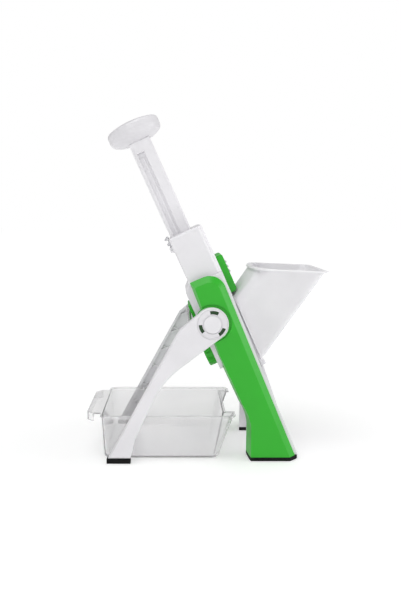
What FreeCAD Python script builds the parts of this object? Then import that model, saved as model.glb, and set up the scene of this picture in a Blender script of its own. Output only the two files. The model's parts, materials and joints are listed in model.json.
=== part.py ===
import FreeCAD, Part
import math
import os
from FreeCAD import Rotation, Vector

# Hand-press mandoline slicer. Millimetres. +X points to the hopper side, +Z is up, and the machine
# is mirror-symmetric about the plane Y = 0. The origin is on the table, at the middle of the
# machine's box. Near means the -Y side and far means the +Y side.

# Press axis and pivot
HUB_X = 5.0              # axis of the folding stand, which is also the origin of the leaning frame
HUB_Z = 156.0
LEAN = 24.4              # degrees that the press axis leans back from upright
TRAVEL = 90.0            # full stroke of the press

# Widths, as distances from the middle plane
WEB_IN = 36.8            # inner face of a leg
WEB_OUT = 38.8
RIM = 52.0               # where the white leg frame meets its green cover
COVER_OUT = 60.5
ARM_IN = 61.0
ARM_OUT = 67.5
TOWER_Y = 45.0
HOUSING_Y = 36.4

# Leaning frame: T across the press axis, towards the hopper, and S up along it
TOWER_FRONT = -6.0
TOWER_BACK = 33.0
TOWER_LOW = 46.0
TOWER_CAP = 98.0
TOWER_TOP = 101.5
WALL = 2.2
FRONT_WALL = 1.6         # tower's front wall, thinner to clear the shaft
HOUSING_FRONT = -13.5
HOUSING_BACK = 9.0
HOUSING_LOW = -56.0
HOUSING_SLOPE = 7.0      # sloping top of the housing
MOUTH_LOW = -63.5
MOUTH_TOP = 9.5
MOUTH_Y = 33.0
SHAFT_FRONT = -4.0
SHAFT_BACK = 21.2
SHAFT_Y = 14.0
SHAFT_LOW = 90.0
SHAFT_TOP = 214.0
SHAFT_ROUND_FRONT = 4.4  # rounding of the shaft's upright edges
SHAFT_ROUND_BACK = 2.8
KNOB_T = 7.6
KNOB_R = 30.7
ROD_T = 16.0
ROD_Y = 46.0
DIAL_S = -36.0
DIAL_R = 20.5

SOLE = 4.5               # thickness of the rubber under the rear legs
ARM_SOLE = 5.5           # thickness of the rubber under the stand
GAP = 0.2                # assembly gap between moulded parts

# Leg covers: corners of the outline in the XZ plane
COVER_REAR_LOW = (99.5, SOLE)
COVER_REAR_HIGH = (18.9, 196.3)
COVER_TOP_END = (-4.9, 205.5)
COVER_CORNER = (-20.7, 198.8)
COVER_BEND = (11.2, 118.4)
COVER_KNEE = (36.8, 63.5)
COVER_SHIN = (46.2, 38.0)
COVER_TOE = (46.2, SOLE)
COVER_SLOPE = 6.5        # the sloping border at the rear and top, across and deep
COVER_DRAFT = 1.6        # the front wall's set-back where the border starts
COVER_FRONT = 3.0        # and at the outer face
SKIRT_TOP = 104.0        # the front wall reaches the leg's inner face below this height
SKIRT = 2.0
COVER_SCREWS = ((3.0, -66.0), (4.0, -138.0), (8.0, 40.4))    # (T, S) of each leg's screws
COVER_BOSS_R = 3.2

# Folding stand
BAR_X = HUB_X - 24.0     # tie bar between the two arms
BAR_Z = HUB_Z
BAR_R = 2.5
TAB_ANGLES = (82.0, 202.0, 322.0)                            # snap tabs on the hub
FLANGE_R = 19.6          # flange of the hub's boss, with a groove round it in the cover
FLANGE_GROOVE = (1.2, 1.5)    # width and depth
CAP_GROOVE = (9.5, 10.3)      # inner and outer radius of the ring line on the hub cap
ARCH_R = 27.0            # arch in the brace between the legs
TOWER_SPLIT = 12.0       # T where the tower's front and rear shells meet
SHELL_SCREW_Y = (-40.0, 40.0)
SHELL_SCREW_S = (56.0, 90.0)

# Carriage, blade and julienne comb
CARRIAGE_FACE = 30.4
CARRIAGE_THICK = 1.5
CARRIAGE_Y = 36.2
BLADE_EDGE = 12.0
BLADE_TOP = 34.0
BLADE_THICK = 1.0
BLADE_SCREW_S = 29.5
BLADE_SCREW_Y = (-24.0, 24.0)
COMB_LOW = 43.4
COMB_TOP = 51.0
COMB_TRAVEL = 8.0
TOOTH_Y = [-21.0 + 7.0 * k for k in range(7)]
TOOTH_BACK = 22.5
EAR_LOW = 20.0
EAR_TOP = 28.0

# Thickness dial and plate
DIAL_FRONT = -23.4
PLATE_FACE = 20.0

# Cut selector
TRACK_Y = 22.0
TRACK_BACK = 41.3
TRACK_LOW = 16.6
TRACK_TOP = 61.2
BUTTON_LOW = 35.5
BUTTON_TOP = 53.5
BUTTON_Y = 9.0

# Handle lock
LOCK_T = -8.4
LOCK_S = 88.0

# Hopper: a leaning chute cut off by a nearly level rim
CHUTE_LEAN = 33.7
CHUTE_W = 66.4
RIM_LEFT = (46.0, 215.0)
RIM_RIGHT = (129.0, 211.5)
RIM_THICK = 2.1

# Container
BIN_Z = 51.0
BIN_WALL = 1.8
BIN_FLOOR_LINE = (-115.4, 13.6, 53.0, 6.0)    # low X, high X, half width and corner radius at the table
BIN_RIM_LINE = (-118.2, 30.8, 57.2, 7.5)     # the same at the rim
BIN_BEND = ((0.0, 3.2), (0.5, 1.7), (1.5, 0.6), (3.2, 0.0))   # height and set-in of the bottom edge
TAB_TIP = -135.6         # end of the pull tab, which is the machine's lowest X

NEAR = -1
FAR = 1
SIDES = ((NEAR, "near"), (FAR, "far"))

Y_AXIS = Vector(0, 1, 0)
Z_AXIS = Vector(0, 0, 1)
ORIGIN = Vector(0, 0, 0)


# Basic shapes

def box(x0, x1, y0, y1, z0, z1):
    return Part.makeBox(x1 - x0, y1 - y0, z1 - z0, Vector(x0, y0, z0))


def both_sides(x0, x1, y_in, y_out, z0, z1):
    near = box(x0, x1, -y_out, -y_in, z0, z1)
    return near.fuse(box(x0, x1, y_in, y_out, z0, z1))


def outline(points, y=0.0):
    """Closed wire in the XZ plane. A point given as (middle, end) is reached by an arc."""
    edges = []
    here = points[0]
    for step in list(points[1:]) + [points[0]]:
        if isinstance(step[0], tuple):
            middle, end = step
            arc = Part.Arc(Vector(here[0], y, here[1]), Vector(middle[0], y, middle[1]),
                           Vector(end[0], y, end[1]))
            edges.append(arc.toShape())
        else:
            end = step
            if math.dist(here, end) > 1e-6:
                edges.append(Part.makeLine(Vector(here[0], y, here[1]), Vector(end[0], y, end[1])))
        here = end
    return Part.Wire(edges)


def slab(points, y0, y1):
    """Solid with a given XZ outline between two Y values."""
    return Part.Face(outline(points, y0)).extrude(Vector(0, y1 - y0, 0))


def plate(points, z0, z1):
    """Solid with a given XY outline between two Z values."""
    corners = [Vector(x, y, z0) for x, y in points]
    return Part.Face(Part.makePolygon(corners + corners[:1])).extrude(Vector(0, 0, z1 - z0))


def disc(r, y0, y1, x=0.0, z=0.0):
    return Part.makeCylinder(r, y1 - y0, Vector(x, y0, z), Y_AXIS)


def post(r, z0, z1, x=0.0, y=0.0):
    return Part.makeCylinder(r, z1 - z0, Vector(x, y, z0), Z_AXIS)


def bar_x(r, x0, x1, y=0.0, z=0.0):
    return Part.makeCylinder(r, x1 - x0, Vector(x0, y, z), Vector(1, 0, 0))


def join(first, *others):
    return first.fuse(list(others)).removeSplitter()


def lean(shape):
    """Moves a shape from the leaning frame, whose Z is S and X is T, to the machine's frame."""
    moved = shape.copy()
    moved.rotate(ORIGIN, Y_AXIS, -LEAN)
    moved.translate(Vector(HUB_X, 0, HUB_Z))
    return moved


def leaning_point(t, s):
    a = math.radians(LEAN)
    return (HUB_X + t * math.cos(a) - s * math.sin(a), HUB_Z + t * math.sin(a) + s * math.cos(a))


def far_copy(shape):
    return shape.mirror(ORIGIN, Y_AXIS)


def pair(nodes, name, near_shape):
    nodes["near_" + name] = near_shape
    nodes["far_" + name] = far_copy(near_shape)


def edges_at(shape, axis, value, tolerance=0.01):
    """Edges that lie wholly at one value of X, Y or Z."""
    found = []
    for edge in shape.Edges:
        low = getattr(edge.BoundBox, axis + "Min")
        high = getattr(edge.BoundBox, axis + "Max")
        if abs(low - value) < tolerance and abs(high - value) < tolerance:
            found.append(edge)
    return found


def upright_edges(shape, keep):
    """Straight edges along Z whose X and Y pass a test."""
    found = []
    for edge in shape.Edges:
        bb = edge.BoundBox
        if bb.XLength < 0.01 and bb.YLength < 0.01 and bb.ZLength > 1 and keep(bb.XMin, bb.YMin):
            found.append(edge)
    return found


# Legs: white frames, green covers and rubber soles

def front_line(f):
    """Points of a leg's front edge from the bend down to the toe, moved inwards by f."""
    return [
        (COVER_BEND[0] + 0.92 * f, COVER_BEND[1] + 0.4 * f),
        (COVER_KNEE[0] + 0.95 * f, COVER_KNEE[1] + 0.3 * f),
        ((43.3 + 0.97 * f, 50.5 + 0.15 * f), (COVER_SHIN[0] + f, COVER_SHIN[1])),
        (COVER_TOE[0] + f, SOLE),
    ]


def cover_points(inset=0.0, front=0.0):
    """Outline of a leg cover, moved inwards by inset at the rear and top and by front at the front."""
    i = inset
    corner = max(front, 0.7 * inset)
    return [
        (COVER_REAR_LOW[0] - 1.08 * i, SOLE),
        (COVER_REAR_HIGH[0] - 0.92 * i, COVER_REAR_HIGH[1] - 0.39 * i),
        ((10.0 - 0.50 * i, 205.2 - 0.87 * i), (COVER_TOP_END[0] + 0.39 * i, COVER_TOP_END[1] - 0.92 * i)),
        (COVER_CORNER[0] + 0.92 * corner + 0.37 * i, COVER_CORNER[1] + 0.39 * corner - 0.93 * i),
    ] + front_line(front)


def draft(y):
    """Set-back of the drafted front wall at a distance y from the middle plane."""
    start = WEB_OUT + GAP
    return COVER_DRAFT * (y - start) / (COVER_OUT - COVER_SLOPE - start)


def cover_block(wall, y_rim, y_face):
    """Near-side cover shape: a straight rim and then a sloping border up to the outer face."""
    y_slope = y_face - COVER_SLOPE
    slope_start = outline(cover_points(wall, wall + draft(y_slope)), -y_slope)
    wires = [outline(cover_points(wall, wall + draft(y_rim)), -y_rim), slope_start]
    straight = Part.makeLoft(wires, True, True)
    wires = [slope_start, outline(cover_points(wall + COVER_SLOPE, wall + COVER_FRONT), -y_face)]
    border = Part.makeLoft(wires, True, True)
    return straight.fuse(border).removeSplitter()


def cover_skirt():
    """The cover's front wall, carried on past the rim to the leg's inner face."""
    y0 = WEB_OUT + GAP
    outer = Part.makeLoft([outline(cover_points(0.0, 0.0), -y0),
                           outline(cover_points(0.0, draft(RIM)), -RIM)], True, True)
    inner = Part.makeLoft([outline(cover_points(-1.0, SKIRT - draft(RIM)), -y0 + 1),
                           outline(cover_points(-1.0, SKIRT + draft(RIM)), -RIM - 1)], True, True)
    return outer.cut(inner).common(box(-10, 70, -RIM, -y0, SOLE, SKIRT_TOP))


def leg_cover():
    shell = cover_block(0.0, RIM, COVER_OUT)
    hollow = cover_block(WALL, RIM - 1, COVER_OUT - WALL)
    hollow = hollow.common(box(-100, 200, -100, 100, SOLE + WALL, 300))
    shell = join(shell.cut(hollow), cover_skirt())
    hub_tube = disc(16.0, -COVER_OUT, -RIM, HUB_X, HUB_Z)
    shell = join(shell, hub_tube)
    groove_width, groove_depth = FLANGE_GROOVE
    groove = disc(FLANGE_R + groove_width, -COVER_OUT - 1, -COVER_OUT + groove_depth, HUB_X, HUB_Z)
    groove = groove.cut(disc(FLANGE_R, -COVER_OUT - 2, -COVER_OUT + 2, HUB_X, HUB_Z))
    shell = shell.cut(groove)
    return shell.cut(disc(12.1, -COVER_OUT - 1, -RIM + 1, HUB_X, HUB_Z))


def frame_points(wall=0.0, front=3.8):
    """Outline of the white leg frame, less a wall thickness, with its front edge moved in by front."""
    top_back = leaning_point(32.8 - wall, TOWER_LOW - wall)
    top_front = leaning_point(-3.4 + wall, TOWER_LOW - wall)
    line = front_line(front + wall)
    line[-1] = (line[-1][0], SOLE + wall)
    return [(103.0 - 1.09 * wall, SOLE + wall), top_back, top_front] + line


def leg_frame():
    """White tray with its web towards the middle plane and a flange round its open side."""
    tray = join(slab(frame_points(0.0, 0.0), -WEB_OUT, -WEB_IN), slab(frame_points(), -RIM, -WEB_OUT))
    pocket = slab(frame_points(WALL), -RIM + 2.0, -WEB_OUT)
    mouth = slab(frame_points(WALL), -RIM - 1, -RIM + 2.0).common(slab(cover_points(1.4, 4.5), -60, -40))
    tray = tray.cut(join(pocket, mouth))
    ribs = []
    for s in (-112.0, 34.0):
        ribs.append(lean(box(-20, 40, -RIM, -WEB_OUT, s, s + 3.0)))
    inside = slab(frame_points(WALL), -RIM, -WEB_OUT)
    for rib in ribs:
        tray = tray.fuse(rib.common(inside))
    post_in = disc(11.8, -RIM, -WEB_OUT, HUB_X, HUB_Z)
    keep_out = lean(box(ROD_T - 5.3, ROD_T + 5.3, -52, -40, -130, 60))
    tray = tray.fuse(post_in.cut(keep_out)).removeSplitter()
    slot = lean(box(21.6, 27.4, -WEB_OUT - 1, -WEB_IN + 1, EAR_LOW - TRAVEL - 1.5, EAR_TOP + 1.5))
    tray = tray.cut(slot)
    rod_hole = lean(post(2.05, -111.0, 40.0, ROD_T, -ROD_Y))
    return tray.cut(rod_hole)


def leg_sole():
    slope = COVER_SLOPE
    toe = COVER_TOE[0]
    heel = 101.3
    points = [
        (toe, -WEB_IN), (toe, -WEB_OUT), (toe + COVER_DRAFT, -COVER_OUT + slope),
        (toe + COVER_FRONT, -COVER_OUT), (heel - slope - 1.5, -COVER_OUT), (heel - 0.5, -COVER_OUT + slope),
        (heel + 1.0, -RIM), (heel + 1.0, -WEB_IN),
    ]
    return plate(points, 0.0, SOLE)


# Folding stand: arms, tie bar, soles, pivot bosses and caps

def arm_points():
    return [
        (-109.6, ARM_SOLE),
        (-30.2, 150.5),
        (-10.2, 167.2),
        ((HUB_X, HUB_Z + 18.0), (18.3, 144.0)),
        (-24.5, 111.2),
        ((-45.0, 92.5), (-56.5, 76.5)),
        (-79.3, 27.7),
        (-84.6, ARM_SOLE),
    ]


def arm_inner_points(border=2.6):
    b = border
    return [
        (-109.6 + 2.4 * b, ARM_SOLE + 1.0 * b),
        (-30.2 + 0.7 * b, 150.5 - 0.9 * b),
        (-13.5, 165.5 - 2.2 * b),
        (-13.5, 120.0 + 1.2 * b),
        (-24.5 - 0.6 * b, 111.2 + 0.8 * b),
        ((-45.0 - 0.75 * b, 92.5 + 0.6 * b), (-56.5 - 0.9 * b, 76.5 + 0.4 * b)),
        (-79.3 - 0.95 * b, 27.7 + 0.3 * b),
        (-84.6 - 1.1 * b, ARM_SOLE + 1.0 * b),
    ]


def stand_arm():
    arm = slab(arm_points(), -ARM_OUT, -ARM_IN)
    arm = arm.makeFillet(2.4, edges_at(arm, "Y", -ARM_OUT))
    pocket = slab(arm_inner_points(), -ARM_OUT + 2.4, -ARM_IN + 1)
    ribs = []
    step = 24.0
    for k in range(7):
        x = -103.0 + 15.0 * k
        z = 14.0 + step * k
        ribs.append(brace_bar((x - 14, z + 8), (x + 30, z + 22)))
        ribs.append(brace_bar((x - 14, z + 30), (x + 30, z + 6)))
    for rib in ribs:
        pocket = pocket.cut(rib)
    arm = arm.cut(pocket)
    socket = disc(5.0, -ARM_OUT + 2.0, -ARM_IN, BAR_X, BAR_Z)
    arm = arm.fuse(socket.common(slab(arm_points(), -ARM_OUT, -ARM_IN))).removeSplitter()
    arm = arm.cut(disc(BAR_R, -ARM_OUT + 2.6, -ARM_IN + 1, BAR_X, BAR_Z))
    arm = arm.cut(disc(15.0, -ARM_OUT - 1, -ARM_IN + 1, HUB_X, HUB_Z))
    return arm.cut(disc(16.4, -ARM_OUT - 1, -65.2, HUB_X, HUB_Z))


def brace_bar(start, end):
    """Thin rib inside an arm, between two XZ points."""
    dx = end[0] - start[0]
    dz = end[1] - start[1]
    n = math.hypot(dx, dz)
    ox = -dz / n * 0.7
    oz = dx / n * 0.7
    points = [(start[0] + ox, start[1] + oz), (end[0] + ox, end[1] + oz),
              (end[0] - ox, end[1] - oz), (start[0] - ox, start[1] - oz)]
    return slab(points, -ARM_OUT, -ARM_IN - 1.2)


def arm_sole():
    return box(-111.1, -84.6, -ARM_OUT, -ARM_IN, 0.0, ARM_SOLE)


def pivot_boss():
    """Green boss on the cover: a flange, the journal that the arm turns on, and three snap tabs."""
    flange = disc(FLANGE_R, -ARM_IN + 0.15, -COVER_OUT, HUB_X, HUB_Z)
    journal = disc(14.95, -65.1, -COVER_OUT, HUB_X, HUB_Z)
    stem = disc(12.0, -COVER_OUT, -RIM, HUB_X, HUB_Z)
    boss = join(flange, journal, stem)
    boss = boss.cut(disc(9.5, -66, -55.0, HUB_X, HUB_Z))
    for middle in TAB_ANGLES:
        boss = boss.fuse(ring_sector(11.4, 14.6, middle, 36.0, -65.7, -65.1))
    return boss.removeSplitter()


def ring_sector(r_in, r_out, middle, width, y0, y1):
    """Part of a ring about the hub axis. Angles are in the XZ plane, from +X towards +Z."""
    a0 = math.radians(middle - width / 2)
    am = math.radians(middle)
    a1 = math.radians(middle + width / 2)

    def at(r, a):
        return (HUB_X + r * math.cos(a), HUB_Z + r * math.sin(a))

    points = [at(r_in, a0), at(r_out, a0), (at(r_out, am), at(r_out, a1)), at(r_in, a1),
              (at(r_in, am), at(r_in, a0))]
    return slab(points, y0, y1)


def hub_cap():
    cap = disc(16.1, -66.6, -65.3, HUB_X, HUB_Z)
    cap = join(cap, disc(11.0, -67.5, -66.6, HUB_X, HUB_Z))
    ring = disc(16.1, -67.5, -66.6, HUB_X, HUB_Z).cut(disc(15.0, -68, -66.0, HUB_X, HUB_Z))
    cap = join(cap, ring)
    for middle in TAB_ANGLES:
        cap = cap.cut(ring_sector(11.1, 14.9, middle, 40.0, -68.0, -65.0))
    inner, outer = CAP_GROOVE
    groove = disc(outer, -68.0, -66.2, HUB_X, HUB_Z).cut(disc(inner, -69.0, -66.0, HUB_X, HUB_Z))
    cap = cap.cut(groove)
    plug = disc(9.3, -65.3, -58.0, HUB_X, HUB_Z)
    return join(cap, plug)


# Tower: two half shells, a cap, the dial housing and the brace

def tower_section(wall, chamfer_back, chamfer_front):
    y = TOWER_Y - wall
    front = TOWER_FRONT + min(wall, FRONT_WALL)
    back = TOWER_BACK - wall
    c = chamfer_back
    f = chamfer_front
    return [(front + f, -y), (back - c, -y), (back, -y + c), (back, y - c), (back - c, y),
            (front + f, y), (front, y - f), (front, -y + f)]


def tower_box():
    outer = plate(tower_section(0.0, 4.8, 1.5), TOWER_LOW, TOWER_CAP)
    return outer.cut(plate(tower_section(WALL, 3.9, 0.6), TOWER_LOW - 1, TOWER_CAP + 1))


def guide_rails(t0, t1):
    """Ribs inside the upper tower that keep the carriage in line."""
    return both_sides(t0, t1, WEB_IN, TOWER_Y - WALL, TOWER_LOW, TOWER_CAP)


def tower_front_shell():
    shell = tower_box().common(box(-50, TOWER_SPLIT, -60, 60, 0, 200))
    return lean(shell)


def tower_rear_shell():
    shell = tower_box().common(box(TOWER_SPLIT, 50, -60, 60, 0, 200))
    shell = shell.fuse(guide_rails(20.0, TOWER_BACK - WALL))
    face = box(TOWER_BACK - WALL, TOWER_BACK, -HOUSING_Y, HOUSING_Y, MOUTH_LOW - 8, TOWER_LOW)
    shell = join(shell, face)
    window = box(TOWER_BACK - WALL - 1, TOWER_BACK + 1, -MOUTH_Y, MOUTH_Y, MOUTH_LOW, MOUTH_TOP)
    return lean(shell.cut(window))


def tower_cap():
    lid = plate(tower_section(0.0, 4.8, 1.5), TOWER_CAP, TOWER_TOP)
    lid = lid.makeFillet(1.4, edges_at(lid, "Z", TOWER_TOP))
    hole = box(SHAFT_FRONT - GAP, SHAFT_BACK + GAP, -SHAFT_Y - GAP, SHAFT_Y + GAP,
               TOWER_CAP - 1, TOWER_TOP + 1)
    hole = hole.makeFillet(SHAFT_ROUND_FRONT + GAP, upright_edges(hole, lambda x, y: x < 0))
    hole = hole.makeFillet(SHAFT_ROUND_BACK + GAP, upright_edges(hole, lambda x, y: x > SHAFT_BACK))
    return lean(lid.cut(hole))


def dial_housing():
    """White box on the stand side of the tower, which holds the thickness dial's screw."""
    y = HOUSING_Y
    shell = box(HOUSING_FRONT, HOUSING_BACK, -y, y, HOUSING_LOW, TOWER_LOW)
    top_front = [e for e in edges_at(shell, "Z", TOWER_LOW) if abs(e.BoundBox.XMax - HOUSING_FRONT) < 0.01]
    shell = shell.makeChamfer(HOUSING_SLOPE, top_front)
    hollow = box(HOUSING_FRONT + WALL, 40, -y + WALL, y - WALL, HOUSING_LOW - 1, TOWER_LOW + 1)
    shell = shell.cut(hollow)
    roof_front = HOUSING_FRONT + HOUSING_SLOPE
    roof = box(roof_front, TOWER_FRONT + FRONT_WALL, -y, y, TOWER_LOW - WALL, TOWER_LOW)
    drop = WALL * math.sqrt(2)
    slope = slab([(HOUSING_FRONT, TOWER_LOW - HOUSING_SLOPE), (roof_front, TOWER_LOW),
                  (roof_front, TOWER_LOW - drop), (HOUSING_FRONT, TOWER_LOW - HOUSING_SLOPE - drop)], -y, y)
    shell = join(shell, roof, slope)
    bearing = bar_x(6.0, HOUSING_FRONT, HOUSING_FRONT + 7.0, 0, DIAL_S)
    shell = join(shell, bearing)
    return lean(shell.cut(bar_x(3.05, HOUSING_FRONT - 1, 20, 0, DIAL_S)))


def rear_brace():
    """Panel that ties the two legs below the hopper's mouth."""
    low = leaning_point(24.0, -152.0)
    high = leaning_point(30.6, MOUTH_LOW - 8.5)
    thick = 2.4
    panel = slab([low, high, (high[0] + thick, high[1]), (low[0] + thick, low[1])],
                 -WEB_IN + 0.05, WEB_IN - 0.05)
    return panel.cut(bar_x(ARCH_R, 0, 200, 0, low[1] - 4))


# Press: shaft, knob, carriage, blade, comb, rods and springs

def press_shaft():
    shaft = box(SHAFT_FRONT, SHAFT_BACK, -SHAFT_Y, SHAFT_Y, SHAFT_LOW + 8.0, SHAFT_TOP)
    shaft = shaft.makeFillet(SHAFT_ROUND_FRONT, upright_edges(shaft, lambda x, y: x < 0))
    shaft = shaft.makeFillet(SHAFT_ROUND_BACK, upright_edges(shaft, lambda x, y: x > SHAFT_BACK - 0.01))
    bore = box(SHAFT_FRONT + 5.5, SHAFT_BACK - 3.0, -7.5, 7.5, SHAFT_LOW + 7.0, SHAFT_TOP - 6.0)
    shaft = shaft.cut(bore)
    for side in (NEAR, FAR):
        y0 = min(side * (SHAFT_Y - 3.6), side * (SHAFT_Y + 1))
        channel = box(0.6, 9.0, y0, y0 + 4.6, SHAFT_LOW + 12.0, 201.0)
        shaft = shaft.cut(channel)
    return lean(shaft)


def shaft_rib(side):
    """Guide strip seated in the channel on each side of the shaft."""
    y = side * (SHAFT_Y - 3.6)
    base = box(0.6, 9.0, min(y, y + side * 1.2), max(y, y + side * 1.2), SHAFT_LOW + 12.0, 195.0)
    rib = box(4.6, 6.0, min(y, y + side * 3.2), max(y, y + side * 3.2), SHAFT_LOW + 12.0, 195.0)
    return lean(join(base, rib))


def turned(profile, t, s):
    """Solid of revolution about the press direction. The profile is a list of (radius, height)."""
    edges = []
    here = profile[0]
    for step in list(profile[1:]) + [profile[0]]:
        if isinstance(step[0], tuple):
            middle, end = step
            edges.append(Part.Arc(Vector(here[0], 0, here[1]), Vector(middle[0], 0, middle[1]),
                                  Vector(end[0], 0, end[1])).toShape())
        else:
            end = step
            edges.append(Part.makeLine(Vector(here[0], 0, here[1]), Vector(end[0], 0, end[1])))
        here = end
    solid = Part.Face(Part.Wire(edges)).revolve(ORIGIN, Z_AXIS, 360)
    solid.translate(Vector(t, 0, s))
    return solid


def cap_point(edge, top, r):
    """Point at radius r on a spherical cap from an edge point (radius, height) up to its top."""
    rise = top - edge[1]
    radius = (edge[0] ** 2 + rise ** 2) / (2 * rise)
    return (r, top - radius + math.sqrt(radius ** 2 - r ** 2))


def knob_top():
    """Domed upper half of the palm knob."""
    r = KNOB_R
    edge = (r - 3.2, 20.4)
    shell = turned([(0, 12.5), (r, 12.5), (r, 15.8), ((r - 0.7, 18.3), edge),
                    (cap_point(edge, 24.5, 15.0), (0, 24.5))], KNOB_T, SHAFT_TOP)
    edge = (r - 5.4, 18.4)
    inner = turned([(0, 12.0), (r - 2.4, 12.0), (r - 2.4, 15.2), ((r - 3.5, 17.5), edge),
                    (cap_point(edge, 22.2, 14.0), (0, 22.2))], KNOB_T, SHAFT_TOP)
    pillar = post(5.0, SHAFT_TOP + 12.5, SHAFT_TOP + 23.0, KNOB_T, 0)
    return lean(join(shell.cut(inner), pillar))


def knob_base():
    """Dished lower half of the palm knob, with the socket that the shaft's head fills."""
    profile = [(0, 0), (15.5, 0), ((22.0, 1.6), (28.0, 4.6)), ((KNOB_R - 0.7, 7.2), (KNOB_R, 10.4)),
               (KNOB_R, 12.5), (0, 12.5)]
    base = turned(profile, KNOB_T, SHAFT_TOP)
    inner = turned([(0, 2.6), (14.5, 2.6), (26.0, 6.6), (KNOB_R - 2.4, 10.6), (KNOB_R - 2.4, 13), (0, 13)],
                   KNOB_T, SHAFT_TOP)
    boss = turned([(2.1, 2.0), (5.0, 2.0), (5.0, 12.5), (2.1, 12.5)], KNOB_T, SHAFT_TOP)
    base = join(base.cut(inner), boss)
    return lean(base.cut(post(2.0, SHAFT_TOP - 1, SHAFT_TOP + 20, KNOB_T, 0)))


def knob_screw():
    head = post(3.6, SHAFT_TOP - 6.0 - 2.4, SHAFT_TOP - 6.0, KNOB_T, 0)
    stem = post(1.9, SHAFT_TOP - 6.0, SHAFT_TOP + 12.4, KNOB_T, 0)
    return lean(join(head, stem))


def blade_carriage():
    back = CARRIAGE_FACE - CARRIAGE_THICK
    closing = box(back, CARRIAGE_FACE, -CARRIAGE_Y, CARRIAGE_Y, 19.5, SHAFT_LOW + 8.0 - GAP)
    flanges = both_sides(22.0, back, 30.5, CARRIAGE_Y, 19.5, SHAFT_LOW + 8.0 - GAP)
    head = box(HOUSING_BACK + 0.4, back, -CARRIAGE_Y, CARRIAGE_Y, SHAFT_LOW, SHAFT_LOW + 8.0 - GAP)
    y = HOUSING_Y - WALL - 0.4
    nose = box(SHAFT_FRONT + 0.6, HOUSING_BACK + 0.4, -y, y, SHAFT_LOW, SHAFT_LOW + 8.0 - GAP)
    carriage = join(closing, flanges, head, nose)
    for side in (NEAR, FAR):
        low = min(side * 35.2, side * 49.8)
        neck = box(22.2, 26.8, low, low + 14.6, EAR_LOW, EAR_TOP)
        low = min(side * 41.0, side * 49.8)
        ear = box(11.0, 26.8, low, low + 8.8, EAR_LOW, EAR_TOP)
        carriage = join(carriage, neck, ear)
        carriage = carriage.cut(post(2.06, 15, 32, ROD_T, side * ROD_Y))
    window = box(back - 1, CARRIAGE_FACE + 1, -26.0, 26.0, COMB_LOW - COMB_TRAVEL - GAP, COMB_TOP + GAP)
    return lean(carriage.cut(window).cut(blade_screws()))


def main_blade():
    """Flat blade with a slanted, bevelled lower edge, screwed to the front of the closing plate."""
    t0 = CARRIAGE_FACE - CARRIAGE_THICK - BLADE_THICK
    y = 30.2
    corners = [Vector(t0, -y, BLADE_EDGE + 6.0), Vector(t0, -y, BLADE_TOP),
               Vector(t0, y, BLADE_TOP), Vector(t0, y, BLADE_EDGE)]
    blade = Part.Face(Part.makePolygon(corners + corners[:1])).extrude(Vector(BLADE_THICK, 0, 0))
    edge = [e for e in edges_at(blade, "X", t0) if e.BoundBox.YLength > 50 and e.BoundBox.ZMax < 23]
    return blade.makeChamfer(0.85, edge)


def blade_screws():
    """Two countersunk screws whose heads lie flush in the blade."""
    t0 = CARRIAGE_FACE - CARRIAGE_THICK - BLADE_THICK
    screws = []
    for y in BLADE_SCREW_Y:
        head = Part.makeCone(2.2, 1.2, BLADE_THICK, Vector(t0, y, BLADE_SCREW_S), Vector(1, 0, 0))
        screws.append(join(head, bar_x(1.2, t0 + BLADE_THICK, CARRIAGE_FACE - 0.1, y, BLADE_SCREW_S)))
    return Part.makeCompound(screws)


def julienne_comb():
    """Bar of upright teeth that slides down past the blade's edge to cut strips."""
    back = CARRIAGE_FACE - CARRIAGE_THICK
    comb = box(back - 0.8, CARRIAGE_FACE, -25.6, 25.6, COMB_LOW, COMB_TOP)
    for y in TOOTH_Y:
        points = [(TOOTH_BACK + 3.0, 16.0), (back - 1.3, 19.0), (back - 1.3, COMB_LOW),
                  (back - 0.8, COMB_LOW), (back - 0.8, COMB_TOP), (TOOTH_BACK, COMB_TOP), (TOOTH_BACK, 19.0)]
        comb = comb.fuse(slab(points, y - 0.4, y + 0.4))
    return lean(comb.removeSplitter())


def guide_rod():
    return lean(post(2.0, -111.0, 36.5, ROD_T, -ROD_Y))


def return_spring():
    """Compression spring on a guide rod, from the leg's lower rib up to the carriage's ear."""
    wire_r = 0.5
    coil_r = 3.9
    low = -109.0 + wire_r
    height = EAR_LOW - wire_r - 0.1 - low
    turns = 13
    helix = Part.makeHelix(height / turns, height, coil_r)
    section = Part.Wire(Part.makeCircle(wire_r, Vector(coil_r, 0, 0), Y_AXIS))
    coil = Part.Wire(helix).makePipeShell([section], True, True)
    coil.translate(Vector(ROD_T, -ROD_Y, low))
    return lean(coil)


# Thickness control: dial, screw, plate and the pointer plate above the dial

def thickness_dial():
    r = DIAL_R
    dial = bar_x(r, DIAL_FRONT, HOUSING_FRONT - 0.3, 0, DIAL_S)
    rim = [e for e in edges_at(dial, "X", DIAL_FRONT)]
    dial = dial.makeFillet(1.6, rim)
    flutes = 18
    for k in range(flutes):
        a = 2 * math.pi * k / flutes
        dial = dial.cut(bar_x(1.5, DIAL_FRONT - 1, HOUSING_FRONT - 2.8, (r + 0.6) * math.cos(a),
                              DIAL_S + (r + 0.6) * math.sin(a)))
    hollow = bar_x(r - 3.6, DIAL_FRONT + 2.4, HOUSING_FRONT, 0, DIAL_S)
    hollow = hollow.cut(bar_x(6.0, DIAL_FRONT, HOUSING_FRONT, 0, DIAL_S))
    dial = dial.cut(hollow)
    return lean(dial.cut(bar_x(3.0, DIAL_FRONT + 3.0, HOUSING_FRONT + 1, 0, DIAL_S)))


def dial_screw():
    stem = bar_x(3.0, DIAL_FRONT + 3.0, 10.5, 0, DIAL_S)
    collar = bar_x(5.2, HOUSING_FRONT + 7.15, HOUSING_FRONT + 8.6, 0, DIAL_S)
    return lean(join(stem, collar))


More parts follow.
